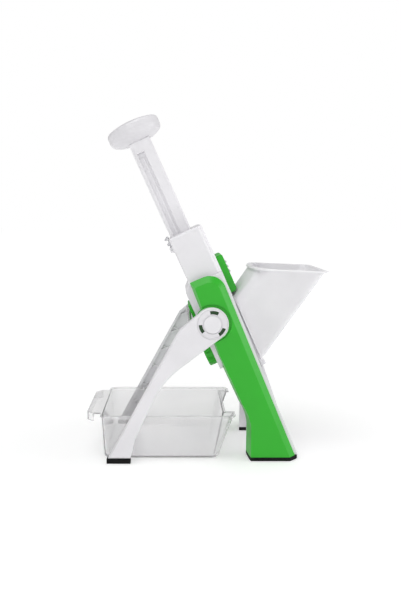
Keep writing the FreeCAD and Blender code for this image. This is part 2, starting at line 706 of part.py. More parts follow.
def thickness_plate():
    """Grooved plate that food rests on. It moves towards the blade for thinner slices."""
    plate_low = MOUTH_LOW - 2.0
    plate_top = SHAFT_LOW - TRAVEL - 1.0
    shape = box(PLATE_FACE - 8.0, PLATE_FACE, -28.8, 28.8, plate_low, plate_top)
    for y in TOOTH_Y:
        groove = box(PLATE_FACE - 6.0, PLATE_FACE + 1, y - 0.9, y + 0.9, plate_low - 1, plate_top + 1)
        shape = shape.cut(groove)
    for k in range(6):
        y = TOOTH_Y[k] + 3.5
        for s0 in (plate_low + 3.0, DIAL_S + 9.0):
            s1 = DIAL_S - 9.0 if s0 < DIAL_S else plate_top - 3.0
            shape = shape.cut(box(PLATE_FACE - 9.0, PLATE_FACE - 2.0, y - 1.6, y + 1.6, s0, s1))
    tongues = both_sides(PLATE_FACE - 8.0, PLATE_FACE - 6.5, 28.8, HOUSING_Y - 0.2, DIAL_S - 12, DIAL_S + 12)
    boss = bar_x(6.0, PLATE_FACE - 18.0, PLATE_FACE - 8.0, 0, DIAL_S)
    shape = join(shape, tongues, boss)
    return lean(shape.cut(bar_x(3.05, PLATE_FACE - 19.0, PLATE_FACE - 8.5, 0, DIAL_S)))


def dial_plate():
    """Green pointer plate fixed to the housing above the dial."""
    shape = box(HOUSING_FRONT - 4.4, HOUSING_FRONT, -22.0, 22.0, DIAL_S + 8.0, 23.0)
    front = HOUSING_FRONT - 4.0
    top = [e for e in edges_at(shape, "Z", 23.0) if e.BoundBox.XMax < front or e.BoundBox.YLength < 1]
    shape = shape.makeFillet(1.2, top)
    return lean(shape.cut(bar_x(DIAL_R + 0.8, HOUSING_FRONT - 6, HOUSING_FRONT + 1, 0, DIAL_S)))


# Cut selector on the hopper side: fixed green track and a white ridged button

def selector_track():
    back = TRACK_BACK
    top = TRACK_TOP
    points = [(TOWER_BACK, TRACK_LOW), (back - 3.0, TRACK_LOW), (back, TRACK_LOW + 2.5),
              (back, top - 2.2), ((back - 0.65, top - 0.65), (back - 2.2, top)), (TOWER_BACK, top)]
    track = slab(points, -TRACK_Y, TRACK_Y)
    slot = box(TOWER_BACK + 1.8, TRACK_BACK + 1, -BUTTON_Y - 0.3, BUTTON_Y + 0.3,
               BUTTON_LOW - COMB_TRAVEL - 0.5, BUTTON_TOP + 0.5)
    track = track.cut(slot)
    return lean(track.cut(driver_slot(TOWER_BACK - 1)))


def driver_slot(t0):
    return box(t0, TOWER_BACK + 3, -2.4, 2.4, 44.5 - COMB_TRAVEL - 2.4, 44.5 + 2.4)


def selector_button():
    button = box(TOWER_BACK + 2.0, TRACK_BACK + 0.4, -BUTTON_Y, BUTTON_Y, BUTTON_LOW, BUTTON_TOP)
    for s in (38.8, 44.5, 50.3):
        button = button.fuse(disc(1.5, -BUTTON_Y + 0.5, BUTTON_Y - 0.5, TRACK_BACK + 0.7, s))
    driver = bar_x(2.0, CARRIAGE_FACE + 0.2, TOWER_BACK + 2.5, 0, 44.5)
    return lean(button.fuse(driver).removeSplitter())


# Handle lock at the top of the tower

def handle_lock():
    """Lever with a double-pronged finger hook, turning on a pin in front of the tower."""
    y = 9.0
    points = [
        (-9.4, 86.8), (-7.4, 86.8), (-7.0, 92.0), (-6.5, 96.0), (-6.5, 103.2), (-8.6, 104.2), (-11.8, 101.6),
        (-10.6, 99.8), (-8.6, 100.6), (-8.3, 97.4), (-11.2, 95.6), (-10.6, 93.6), (-8.9, 93.6),
    ]
    lever = join(slab(points, -y, y), disc(2.1, -y, y, LOCK_T, LOCK_S))
    return lean(lever.cut(disc(1.26, -y - 1, y + 1, LOCK_T, LOCK_S)))


def lock_pin():
    return lean(disc(1.2, -12.5, 12.5, LOCK_T, LOCK_S))


def lock_ears():
    """Two ears that carry the lock's pin."""
    ears = []
    for y0 in (-12.5, 9.4):
        points = [(TOWER_FRONT + 0.5, LOCK_S - 5.0), (LOCK_T - 2.0, LOCK_S - 2.0),
                  (LOCK_T - 2.0, LOCK_S + 2.0), (TOWER_FRONT + 0.5, LOCK_S + 4.0)]
        ear = slab(points, y0, y0 + 3.1)
        ears.append(ear.cut(disc(1.2, -20, 20, LOCK_T, LOCK_S)))
    return ears


# Hopper

def chute_section(grow, y_half, z, bow):
    """Rounded section of the hopper. Its wall on the tower side is curved in proportion to bow."""
    x0 = -grow
    x1 = CHUTE_W + grow
    y = y_half + grow
    r = 7.0
    q = r * (1 - math.sqrt(0.5))

    def v(a, b):
        return Vector(a, b, z)

    b = bow
    edges = [
        Part.Arc(v(x0 + 4.5 * b, -y + 20 * b), v(x0, 0), v(x0 + 4.5 * b, y - 20 * b)).toShape(),
        Part.Arc(v(x0 + 4.5 * b, y - 20 * b), v(x0 + 12.0 * b, y - 6.0 * b), v(x0 + 26.0 * b, y)).toShape(),
        Part.makeLine(v(x0 + 26.0 * b, y), v(x1 - r, y)),
        Part.Arc(v(x1 - r, y), v(x1 - q, y - q), v(x1, y - r)).toShape(),
        Part.makeLine(v(x1, y - r), v(x1, -y + r)),
        Part.Arc(v(x1, -y + r), v(x1 - q, -y + q), v(x1 - r, -y)).toShape(),
        Part.makeLine(v(x1 - r, -y), v(x0 + 26.0 * b, -y)),
        Part.Arc(v(x0 + 26.0 * b, -y), v(x0 + 12.0 * b, -y + 6.0 * b), v(x0 + 4.5 * b, -y + 20 * b)).toShape(),
    ]
    return Part.Wire(edges)


def chute(grow):
    """Long tapered prism of the hopper in the machine's frame."""
    low = chute_section(grow, 39.0, -50.0, 0.25)
    high = chute_section(grow, 51.0, 110.0, 1.0)
    shape = Part.makeLoft([low, high], True, True)
    shape.rotate(ORIGIN, Y_AXIS, CHUTE_LEAN)
    foot = leaning_point(TOWER_BACK + GAP, 12.3)
    shape.translate(Vector(foot[0], 0, foot[1]))
    return shape


def rim_slab(above, below):
    """Half space between two planes parallel to the hopper's rim."""
    x0, x1 = -40.0, 220.0
    slope = (RIM_RIGHT[1] - RIM_LEFT[1]) / (RIM_RIGHT[0] - RIM_LEFT[0])
    z0 = RIM_LEFT[1] + slope * (x0 - RIM_LEFT[0])
    z1 = RIM_LEFT[1] + slope * (x1 - RIM_LEFT[0])
    return slab([(x0, z0 - below), (x1, z1 - below), (x1, z1 + above), (x0, z0 + above)], -90, 90)


def hopper():
    wall = 2.0
    body_zone = lean(box(TOWER_BACK + GAP, 400, -90, 90, -300, 300))
    solid = chute(0.0).common(body_zone).common(rim_slab(0.0, 300.0))
    lip = chute(2.6).common(rim_slab(0.0, RIM_THICK))
    solid = join(solid, lip)
    solid = solid.cut(chute(-wall))
    mouth = lean(box(TOWER_BACK + GAP, TOWER_BACK + GAP + 2.0, -41.0, 41.0, MOUTH_LOW - 4.0, 11.6))
    mouth = mouth.common(chute(-wall + 0.5))
    solid = solid.fuse(mouth).removeSplitter()
    open_y = MOUTH_Y - 1.9
    opening = lean(box(TOWER_BACK - 1, TOWER_BACK + 4, -open_y, open_y, MOUTH_LOW + 1.6, MOUTH_TOP - 1.6))
    solid = solid.cut(opening.common(chute(-wall)))
    spigots = lean(both_sides(TOWER_BACK - 2.0, TOWER_BACK + 2.2, open_y, MOUTH_Y - GAP, -58.0, 2.0))
    tab = lean(box(TOWER_BACK + GAP, TOWER_BACK + 3.4, -9.0, 9.0, MOUTH_LOW - 16.0, MOUTH_LOW - 2.0))
    catch = lean(disc(1.6, -9.0, 9.0, TOWER_BACK + 3.0, MOUTH_LOW - 14.2))
    return join(solid, spigots, tab, catch)


# Container

def rounded_box_wire(x0, x1, y, r, z):
    q = r * (1 - math.sqrt(0.5))

    def v(a, b):
        return Vector(a, b, z)

    edges = [
        Part.makeLine(v(x0 + r, -y), v(x1 - r, -y)),
        Part.Arc(v(x1 - r, -y), v(x1 - q, -y + q), v(x1, -y + r)).toShape(),
        Part.makeLine(v(x1, -y + r), v(x1, y - r)),
        Part.Arc(v(x1, y - r), v(x1 - q, y - q), v(x1 - r, y)).toShape(),
        Part.makeLine(v(x1 - r, y), v(x0 + r, y)),
        Part.Arc(v(x0 + r, y), v(x0 + q, y - q), v(x0, y - r)).toShape(),
        Part.makeLine(v(x0, y - r), v(x0, -y + r)),
        Part.Arc(v(x0, -y + r), v(x0 + q, -y + q), v(x0 + r, -y)).toShape(),
    ]
    return Part.Wire(edges)


def bin_wire(inset, z, set_in):
    share = z / BIN_Z
    x0, x1, y, r = [low + share * (high - low) for low, high in zip(BIN_FLOOR_LINE, BIN_RIM_LINE)]
    i = inset + set_in
    return rounded_box_wire(x0 + i, x1 - i, y - i, r, z)


def bin_block(inset, z0, z1):
    """Container shape: walls lean out to the rim, and the end by the legs is set back in the middle."""
    wires = [bin_wire(inset, z0 + dz, set_in) for dz, set_in in BIN_BEND]
    wires.append(bin_wire(inset, z1, 0.0))
    block = Part.makeLoft(wires, True, True)
    i = inset
    notch = slab([(10.0 - i, z0 - 1), (80, z0 - 1), (80, z1 + 1), (20.5 - i, z1 + 1)], -41.0 - i, 41.0 + i)
    return block.cut(notch)


def bin_rim_block(grow, z0, z1):
    """Straight-sided slice of the container's rim, moved outwards by grow."""
    x0, x1, y, r = BIN_RIM_LINE
    block = Part.Face(rounded_box_wire(x0 - grow, x1 + grow, y + grow, r, z0)).extrude(Vector(0, 0, z1 - z0))
    return block.cut(box(20.5 + grow, 80, -41.0 + grow, 41.0 - grow, z0 - 1, z1 + 1))


def container():
    shell = bin_block(0.0, 0.0, BIN_Z)
    shell = shell.cut(bin_block(BIN_WALL, BIN_WALL, BIN_Z + 0.5))
    rim = bin_rim_block(1.6, BIN_Z - 1.6, BIN_Z).cut(bin_rim_block(-1.0, BIN_Z - 3, BIN_Z + 1))
    tip = TAB_TIP
    root = BIN_RIM_LINE[0]
    tab = plate([(tip + 7, -45), (root, -45), (root, 45), (tip + 7, 45), (tip, 38), (tip, -38)],
                BIN_Z - 1.6, BIN_Z)
    lip = plate([(tip + 7, -45), (tip + 8.6, -43.4), (tip + 1.6, -37.3), (tip + 1.6, 37.3),
                 (tip + 8.6, 43.4), (tip + 7, 45), (tip, 38), (tip, -38)], BIN_Z - 10.0, BIN_Z)
    return join(shell, rim, tab, lip)


# Fasteners

def countersunk(x, z, y_head, y_tip, r_head, r):
    """Screw along Y on the near side, with its flush head towards the middle plane."""
    cone = Part.makeCone(r, r_head, r_head - r, Vector(x, -y_head - (r_head - r), z), Y_AXIS)
    return join(cone, disc(r, -y_tip, -y_head - (r_head - r), x, z))


def cross(half, width, x, y, z, axis):
    """Cross-shaped driver recess in a screw head, 1.1 mm deep along X or Y."""
    if axis == "X":
        return join(box(x - 1, x + 1.1, y - half, y + half, z - width, z + width),
                    box(x - 1, x + 1.1, y - width, y + width, z - half, z + half))
    return join(box(x - half, x + half, y - 1.1, y + 1, z - width, z + width),
                box(x - width, x + width, y - 1.1, y + 1, z - half, z + half))


def cover_screw_set():
    screws = []
    for t, s in COVER_SCREWS:
        x, z = leaning_point(t, s)
        screws.append(countersunk(x, z, WEB_IN, 56.0, 2.9, 1.5))
    return screws


def pivot_screw():
    return countersunk(HUB_X, HUB_Z, WEB_IN, 54.5, 5.5, 3.0)


def shell_screws():
    screws = []
    for y in SHELL_SCREW_Y:
        for s in SHELL_SCREW_S:
            cone = Part.makeCone(2.9, 1.5, 1.4, Vector(TOWER_FRONT, y, s), Vector(1, 0, 0))
            screws.append(join(cone, bar_x(1.5, TOWER_FRONT + 1.4, 27.0, y, s)))
    return lean(Part.makeCompound(screws))


def write_nodes(nodes):
    os.makedirs("parts", exist_ok=True)
    for name, shape in nodes.items():
        if not shape.isValid() or len(shape.Solids) == 0:
            print("problem in", name)
        shape.exportStep("parts/" + name + ".step")


def build():
    nodes = {}
    near_cover_screws = cover_screw_set()
    near_pivot_screw = pivot_screw()
    cover = leg_cover()
    frame = leg_frame()
    inside = cover_block(0.5, RIM - 6.0, COVER_OUT - 1.0)
    for screw, (t, s) in zip(near_cover_screws, COVER_SCREWS):
        x, z = leaning_point(t, s)
        boss = disc(COVER_BOSS_R, -COVER_OUT + 1.2, -RIM + 5.0, x, z).common(inside)
        cover = cover.fuse(boss).cut(screw)
        frame = frame.cut(screw)
    cover = cover.removeSplitter()
    frame = frame.cut(near_pivot_screw)
    pair(nodes, "leg_cover", cover)
    pair(nodes, "leg_frame", frame)
    pair(nodes, "leg_sole", leg_sole())
    pair(nodes, "stand_arm", stand_arm())
    pair(nodes, "stand_sole", arm_sole())
    pair(nodes, "pivot_boss", pivot_boss().cut(near_pivot_screw))
    pair(nodes, "hub_cap", hub_cap())
    nodes["stand_tie_bar"] = disc(BAR_R, -ARM_OUT + 2.6, ARM_OUT - 2.6, BAR_X, BAR_Z)
    screws = shell_screws()
    front = tower_front_shell().cut(screws)
    for ear in lock_ears():
        front = front.fuse(lean(ear))
    nodes["tower_front_shell"] = front.removeSplitter()
    nodes["tower_rear_shell"] = tower_rear_shell().cut(lean(driver_slot(20.0))).cut(screws)
    nodes["tower_cap"] = tower_cap()
    nodes["dial_housing"] = dial_housing()
    nodes["rear_brace"] = rear_brace()
    nodes["press_shaft"] = press_shaft().cut(knob_screw())
    nodes["near_shaft_rib"] = shaft_rib(NEAR)
    nodes["far_shaft_rib"] = shaft_rib(FAR)
    nodes["knob_top"] = knob_top()
    nodes["knob_base"] = knob_base()
    nodes["knob_screw"] = knob_screw()
    nodes["blade_carriage"] = blade_carriage()
    nodes["main_blade"] = lean(main_blade().cut(blade_screws()))
    nodes["blade_screws"] = lean(blade_screws())
    nodes["julienne_comb"] = julienne_comb()
    pair(nodes, "guide_rod", guide_rod())
    pair(nodes, "return_spring", return_spring())
    nodes["thickness_dial"] = thickness_dial()
    nodes["dial_screw"] = dial_screw()
    nodes["thickness_plate"] = thickness_plate()
    nodes["dial_plate"] = dial_plate()
    nodes["selector_track"] = selector_track()
    nodes["selector_button"] = selector_button()
    nodes["handle_lock"] = handle_lock()
    nodes["lock_pin"] = lock_pin()
    nodes["hopper"] = hopper()
    nodes["container"] = container()
    crossed = []
    for screw, (t, s) in zip(near_cover_screws, COVER_SCREWS):
        x, z = leaning_point(t, s)
        crossed.append(screw.cut(cross(1.7, 0.4, x, -WEB_IN, z, "Y")))
    nodes["cover_screws"] = Part.makeCompound(crossed + [far_copy(screw) for screw in crossed])
    near_pivot_screw = near_pivot_screw.cut(cross(3.0, 0.7, HUB_X, -WEB_IN, HUB_Z, "Y"))
    nodes["pivot_screws"] = Part.makeCompound([near_pivot_screw, far_copy(near_pivot_screw)])
    for y in SHELL_SCREW_Y:
        for s in SHELL_SCREW_S:
            screws = screws.cut(lean(cross(1.7, 0.4, TOWER_FRONT, y, s, "X")))
    nodes["shell_screws"] = screws
    return nodes


write_nodes(build())
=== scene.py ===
import json
import math

import bpy
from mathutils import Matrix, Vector


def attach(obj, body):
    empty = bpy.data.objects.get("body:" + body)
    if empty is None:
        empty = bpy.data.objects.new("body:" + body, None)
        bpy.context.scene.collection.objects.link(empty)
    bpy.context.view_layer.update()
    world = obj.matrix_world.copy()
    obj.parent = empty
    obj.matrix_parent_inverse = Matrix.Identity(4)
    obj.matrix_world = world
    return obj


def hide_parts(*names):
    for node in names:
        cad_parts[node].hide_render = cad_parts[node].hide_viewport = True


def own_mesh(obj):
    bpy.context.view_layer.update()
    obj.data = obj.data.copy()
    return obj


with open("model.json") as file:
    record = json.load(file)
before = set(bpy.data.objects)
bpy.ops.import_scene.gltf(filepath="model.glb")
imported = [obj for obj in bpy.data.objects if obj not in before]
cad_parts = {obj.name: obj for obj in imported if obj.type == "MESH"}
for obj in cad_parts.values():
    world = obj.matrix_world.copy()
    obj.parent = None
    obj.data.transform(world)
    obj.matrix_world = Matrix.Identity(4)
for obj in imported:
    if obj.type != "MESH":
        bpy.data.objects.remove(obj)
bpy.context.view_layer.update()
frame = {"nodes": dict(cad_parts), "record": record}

MM = 0.001
LEAN = math.radians(24.4)                 # the press axis leans back by this much
HUB = Vector((0.005, 0.0, 0.156))         # the folding stand's axis, which is the leaning frame's origin
ACROSS = Vector((math.cos(LEAN), 0, math.sin(LEAN)))    # T: away from the shaft, towards the hopper
ALONG = Vector((-math.sin(LEAN), 0, math.cos(LEAN)))    # S: up the shaft
SIDES = (("near", -1), ("far", 1))

# Colours, in linear red, green and blue
WHITE_TONE = (0.785, 0.775, 0.80)
KNOB_TONE = (0.70, 0.69, 0.715)
GREEN_TONE = (0.015, 0.42, 0.008)
# painted shade: a darker copy of the green for the pivot boss's snap tabs, which sit in shade behind the
# hub cap's windows
PAINTED_SHADE_GREEN = (0.001, 0.045, 0.001)
CLEAR_TONES = ((0.90, 0.895, 0.905), (0.93, 0.925, 0.93))
CLEAR_BODY = (0.80, 0.80, 0.82, 1)
RUBBER_TONES = ((0.002, 0.002, 0.002), (0.010, 0.010, 0.011))
STEEL_TONE = (0.58, 0.59, 0.60)
ROD_TONE = (0.66, 0.66, 0.67)
SMOKE_TONES = ((0.66, 0.66, 0.69), (0.76, 0.76, 0.79))
FLOOR_TONES = ((0.77, 0.77, 0.77), (0.79, 0.79, 0.79))
FLOOR_GLOW_NEAR = (0.52, 0.52, 0.52)
FLOOR_GLOW_FAR = (1.0, 1.0, 1.0)
FULL_WHITE = (1, 1, 1, 1)

# Plastic
PLASTIC_IOR = 1.49
GREEN_ROUGH = (0.34, 0.44)
SHADED_ROUGH = (0.38, 0.48)
GRAIN_STRENGTH = 0.10
GRAIN_DEPTH = 0.00004
TAB_EDGE = 0.0165                         # the snap tabs lie inside this radius from the hub's axis
TAB_EDGE_BLEND = 0.0004

# Sockets of the Mix node that carry a colour
MIX_FIRST = 6
MIX_SECOND = 7
MIX_RESULT = 2


def leaning(t, y, s):
    """Point of the leaning frame, given in millimetres, in the machine's frame."""
    return HUB + ACROSS * (t * MM) + Vector((0, y * MM, 0)) + ALONG * (s * MM)


# Materials

def set_inputs(node, values):
    """Values on a node's own inputs, by name. An underscore stands for a space."""
    for name, value in values.items():
        node.inputs[name.replace("_", " ")].default_value = value


def new_node(nodes, kind, **values):
    node = nodes.new(kind)
    set_inputs(node, values)
    return node


class Graph:
    """Short calls for building one material's nodes."""

    def __init__(self, name):
        self.material = bpy.data.materials.new(name)
        self.material.use_nodes = True
        self.nodes = self.material.node_tree.nodes
        self.links = self.material.node_tree.links
        self.shader = self.nodes["Principled BSDF"]
        self.place = self.nodes.new("ShaderNodeTexCoord").outputs["Object"]

    def link(self, source, target):
        self.links.new(source, target)

    def feed(self, name, source):
        self.link(source, self.shader.inputs[name])

    def set(self, **values):
        set_inputs(self.shader, values)

    def noise(self, scale, detail=2.0, roughness=0.5, stretch=None):
        place = self.place
        if stretch:
            mapping = new_node(self.nodes, "ShaderNodeMapping", Scale=stretch)
            self.link(place, mapping.inputs["Vector"])
            place = mapping.outputs["Vector"]
        noise = new_node(self.nodes, "ShaderNodeTexNoise",
                         Scale=scale, Detail=detail, Roughness=roughness)
        self.link(place, noise.inputs["Vector"])
        return noise.outputs["Fac"]

    def span(self, value, low, high, from_low=0.3, from_high=0.7):
        """Value mapped from its usual span to low..high."""
        node = new_node(self.nodes, "ShaderNodeMapRange",
                        From_Min=from_low, From_Max=from_high, To_Min=low, To_Max=high)
        self.link(value, node.inputs["Value"])
        return node.outputs["Result"]

    def two_tone(self, value, first, second, low=0.35, high=0.65):
        ramp = self.nodes.new("ShaderNodeValToRGB")
        ramp.color_ramp.elements[0].position = low
        ramp.color_ramp.elements[0].color = (*first, 1)
        ramp.color_ramp.elements[1].position = high
        ramp.color_ramp.elements[1].color = (*second, 1)
        self.link(value, ramp.inputs["Fac"])
        return ramp.outputs["Color"]

    def mixed(self, share, first, second):
        node = self.nodes.new("ShaderNodeMix")
        node.data_type = "RGBA"
        self.link(share, node.inputs["Factor"])
        for socket, colour in ((node.inputs[MIX_FIRST], first), (node.inputs[MIX_SECOND], second)):
            if isinstance(colour, tuple):
                socket.default_value = (*colour, 1)
            else:
                self.link(colour, socket)
        return node.outputs[MIX_RESULT]

    def vector_math(self, operation, first, second=None):
        node = self.nodes.new("ShaderNodeVectorMath")
        node.operation = operation
        self.link(first, node.inputs[0])
        if second is not None:
            node.inputs[1].default_value = second
        return node.outputs

    def radius_from(self, centre, keep):
        """Distance from a point, counting only the axes kept."""
        away = self.vector_math("SUBTRACT", self.place, centre)["Vector"]
        flat = self.vector_math("MULTIPLY", away, keep)["Vector"]
        return self.vector_math("LENGTH", flat)["Value"]

    def bump(self, height, strength, distance, after=None):
        node = new_node(self.nodes, "ShaderNodeBump", Strength=strength, Distance=distance)
        self.link(height, node.inputs["Height"])
        if after:
            self.link(after, node.inputs["Normal"])
        return node.outputs["Normal"]


def shade(colour, factor):
    return tuple(min(1.0, c * factor) for c in colour)


def mould_grain(g, rough):
    """Uneven gloss between the two roughnesses, and a mould's fine spark grain as a normal."""
    g.feed("Roughness", g.span(g.noise(scale=95, detail=5, roughness=0.6), *rough))
    return g.bump(g.noise(scale=5200), GRAIN_STRENGTH, GRAIN_DEPTH)


def moulded(name, colour, rough=(0.30, 0.40), coat=0.12, glow=0.0):
    """Injection-moulded plastic: fine spark grain, slow sink waviness, handling marks."""
    g = Graph(name)
    tone = g.two_tone(g.noise(scale=26, detail=3), shade(colour, factor=0.965), shade(colour, factor=1.02))
    scratches = g.noise(scale=340, detail=4, roughness=0.65, stretch=(1.0, 1.0, 0.35))
    marks = g.span(scratches, low=0.0, high=0.10, from_low=0.60, from_high=0.80)
    g.feed("Base Color", g.mixed(marks, tone, shade(colour, factor=0.82)))
    fine = mould_grain(g, rough)
    g.feed("Normal", g.bump(g.noise(scale=38, detail=1), strength=0.05, distance=0.0012, after=fine))
    g.set(IOR=PLASTIC_IOR, Coat_Weight=coat, Coat_Roughness=0.22)
    if glow:
        g.set(Subsurface_Weight=glow, Subsurface_Scale=0.006, Subsurface_Radius=(1.0, 1.0, 1.0))
    return g.material


def boss_green(name):
    """The green of the pivot boss, with painted deep shade on the tabs behind the hub cap's windows."""
    g = Graph(name)
    out = g.radius_from(HUB, keep=(1, 0, 1))
    # painted shade: the green turns dark inside the tab radius, in place of the shade behind the windows
    painted_shade = g.two_tone(out, PAINTED_SHADE_GREEN, GREEN_TONE, low=TAB_EDGE - TAB_EDGE_BLEND, high=TAB_EDGE)
    g.feed("Base Color", painted_shade)
    g.feed("Normal", mould_grain(g, SHADED_ROUGH))
    return g.material


def clear_plastic(name):
    """Clear polystyrene with a faint grey body, flow marks and hairline scuffs."""
    g = Graph(name)
    scuffs = g.noise(scale=260, detail=6, roughness=0.7, stretch=(0.25, 1.0, 1.0))
    g.feed("Roughness", g.span(scuffs, low=0.03, high=0.16, from_low=0.55, from_high=0.75))
    g.feed("Base Color", g.two_tone(g.noise(scale=18), *CLEAR_TONES))
    g.feed("Normal", g.bump(g.noise(scale=55), strength=0.05, distance=0.0006))
    g.set(IOR=1.12, Transmission_Weight=0.82, Coat_Weight=1.0, Coat_Roughness=0.04)
    absorb = new_node(g.nodes, "ShaderNodeVolumeAbsorption", Color=CLEAR_BODY, Density=22.0)
    g.link(absorb.outputs["Volume"], g.nodes["Material Output"].inputs["Volume"])
    return g.material


def rubber(name):
    """Matt black rubber with a dusty grain."""
    g = Graph(name)
    g.feed("Base Color", g.two_tone(g.noise(scale=420, detail=5, roughness=0.7), *RUBBER_TONES))
    g.feed("Roughness", g.span(g.noise(scale=150, detail=3), low=0.62, high=0.85))
    g.feed("Normal", g.bump(g.noise(scale=2600, detail=3, roughness=0.6), strength=0.35, distance=0.00012))
    g.set(IOR=1.52, Specular_IOR_Level=0.15)
    return g.material


def steel(name, colour, stretch):
    """Brushed stainless steel. The brushing runs along the axis with the small stretch."""
    g = Graph(name)
    lines = g.noise(scale=2400, detail=3, roughness=0.6, stretch=stretch)
    g.feed("Base Color", g.two_tone(lines, shade(colour, factor=0.86), shade(colour, factor=1.12)))
    g.feed("Roughness", g.span(lines, low=0.20, high=0.36))
    g.feed("Normal", g.bump(lines, strength=0.12, distance=0.00003))
    g.set(Metallic=1.0, Anisotropic=0.5)
    return g.material


def smoky(name):
    """Smoke-grey translucent plastic of the lock lever."""
    g = Graph(name)
    g.feed("Base Color", g.two_tone(g.noise(scale=300, detail=3), *SMOKE_TONES))
    g.feed("Roughness", g.span(g.noise(scale=700, detail=3), low=0.18, high=0.30))
    g.feed("Normal", g.bump(g.noise(scale=900), strength=0.08, distance=0.0001))
    g.set(IOR=PLASTIC_IOR, Transmission_Weight=0.55)
    return g.material


WHITE = moulded("white_abs", WHITE_TONE)
THIN_WHITE = moulded("thin_white_abs", WHITE_TONE, glow=0.8)
KNOB_WHITE = moulded("knob_white_abs", KNOB_TONE)
GREEN = moulded("green_abs", GREEN_TONE, rough=GREEN_ROUGH, coat=0.0)
BOSS_GREEN = boss_green("boss_green_abs")
CLEAR = clear_plastic("clear_bin")
RUBBER = rubber("black_rubber")
STEEL = steel("brushed_steel", STEEL_TONE, stretch=(1.0, 0.02, 1.0))
STEEL_ROD = steel("ground_rod_steel", ROD_TONE, stretch=(1.0, 1.0, 0.05))
SMOKE = smoky("smoke_lever")

# Finish of each material slot, and of the parts that differ from their slot
FINISH = {"white_plastic": WHITE, "green_plastic": GREEN, "clear_plastic": CLEAR,
          "black_rubber": RUBBER, "steel": STEEL, "grey_plastic": SMOKE}
SPECIAL = {"guide_rod": STEEL_ROD, "dial_screw": STEEL_ROD, "stand_tie_bar": STEEL_ROD,
           "pivot_boss": BOSS_GREEN, "hopper": THIN_WHITE,
           "knob_top": KNOB_WHITE, "knob_base": KNOB_WHITE}


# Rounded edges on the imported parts, as modifiers

SMOOTH_ANGLE = math.radians(32)           # edges over this angle are shaded sharp
BEVEL_ANGLE = math.radians(38)            # edges over this angle are rounded
FLAT_ANGLE = math.radians(0.6)            # faces within this angle are one flat face
WELD_DISTANCE = 0.00002
BEVEL_SEGMENTS = 2
SMALL_BEVEL = 0.1                         # bevel widths in millimetres
BEVELS = {"leg_cover": 0.7, "leg_frame": 0.4, "leg_sole": 0.5, "rear_brace": 0.5,
          "stand_arm": 0.3, "stand_sole": 0.4, "hub_cap": 0.45, "pivot_boss": 0.12,
          "tower_front_shell": 0.35, "tower_rear_shell": 0.35, "tower_cap": 0.3, "handle_lock": 0.3,
          "press_shaft": 0.4, "knob_top": 0.3, "knob_base": 0.3, "blade_carriage": 0.25,
          "dial_housing": 0.4, "dial_plate": 0.5, "thickness_dial": 0.35,
          "selector_track": 0.6, "selector_button": 0.35, "hopper": 0.5, "container": 0.35}


def smooth_by_angle_group():
    """Geometry nodes that shade smooth and keep edges over the smooth angle sharp."""
    tree = bpy.data.node_groups.new("smooth_by_angle", "GeometryNodeTree")
    tree.interface.new_socket("Geometry", in_out="INPUT", socket_type="NodeSocketGeometry")
    tree.interface.new_socket("Geometry", in_out="OUTPUT", socket_type="NodeSocketGeometry")
    start = tree.nodes.new("NodeGroupInput")
    end = tree.nodes.new("NodeGroupOutput")
    angle = tree.nodes.new("GeometryNodeInputMeshEdgeAngle")
    compare = new_node(tree.nodes, "FunctionNodeCompare", B=SMOOTH_ANGLE)
    compare.operation = "LESS_THAN"
    faces = tree.nodes.new("GeometryNodeSetShadeSmooth")
    edges = tree.nodes.new("GeometryNodeSetShadeSmooth")
    faces.domain = "FACE"
    edges.domain = "EDGE"
    tree.links.new(start.outputs["Geometry"], faces.inputs["Geometry"])
    tree.links.new(faces.outputs["Geometry"], edges.inputs["Geometry"])
    tree.links.new(angle.outputs["Unsigned Angle"], compare.inputs["A"])
    tree.links.new(compare.outputs["Result"], edges.inputs["Shade Smooth"])
    tree.links.new(edges.outputs["Geometry"], end.inputs["Geometry"])
    return tree


SMOOTH = smooth_by_angle_group()


def round_edges(piece, width):
    """Merged flat faces, a small real bevel on every sharp edge, and smooth shading."""
    weld = piece.modifiers.new("weld", "WELD")
    weld.merge_threshold = WELD_DISTANCE
    flat = piece.modifiers.new("flat_faces", "DECIMATE")
    flat.decimate_type = "DISSOLVE"
    flat.angle_limit = FLAT_ANGLE
    bevel = piece.modifiers.new("rounding", "BEVEL")
    bevel.width = width
    bevel.segments = BEVEL_SEGMENTS
    bevel.limit_method = "ANGLE"
    bevel.angle_limit = BEVEL_ANGLE
    bevel.use_clamp_overlap = True
    smooth = piece.modifiers.new("smooth", "NODES")
    smooth.node_group = SMOOTH
    even = piece.modifiers.new("even_faces", "WEIGHTED_NORMAL")
    even.keep_sharp = True


def dress_nodes():
    """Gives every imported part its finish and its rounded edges."""
    slot_of = {row["node"]: row["material_slot"] for row in frame["record"]["subparts"]}
    for name, node in frame["nodes"].items():
        base = name.replace("near_", "").replace("far_", "")
        node.data.materials.clear()
        node.data.materials.append(SPECIAL.get(base, FINISH[slot_of[name]]))
        round_edges(node, BEVELS.get(base, SMALL_BEVEL) * MM)


dress_nodes()


# Return springs, drawn as fixed coils; on the press they shorten as it goes down. Sizes in millimetres of
# the leaning frame.

ROD_T = 16.0
ROD_Y = 46.0
SPRING_LOW = -109.0
SPRING_TOP = 20.0
COIL_R = 3.9
WIRE_R = 0.5
TOP_GAP = 0.1
TURNS = 13
STEPS_PER_TURN = 16
END_CLOSING = 0.14                        # share of the pitch by which the end turns lie closer
WIRE_RESOLUTION = 2
FULL_TURN = 2 * math.pi


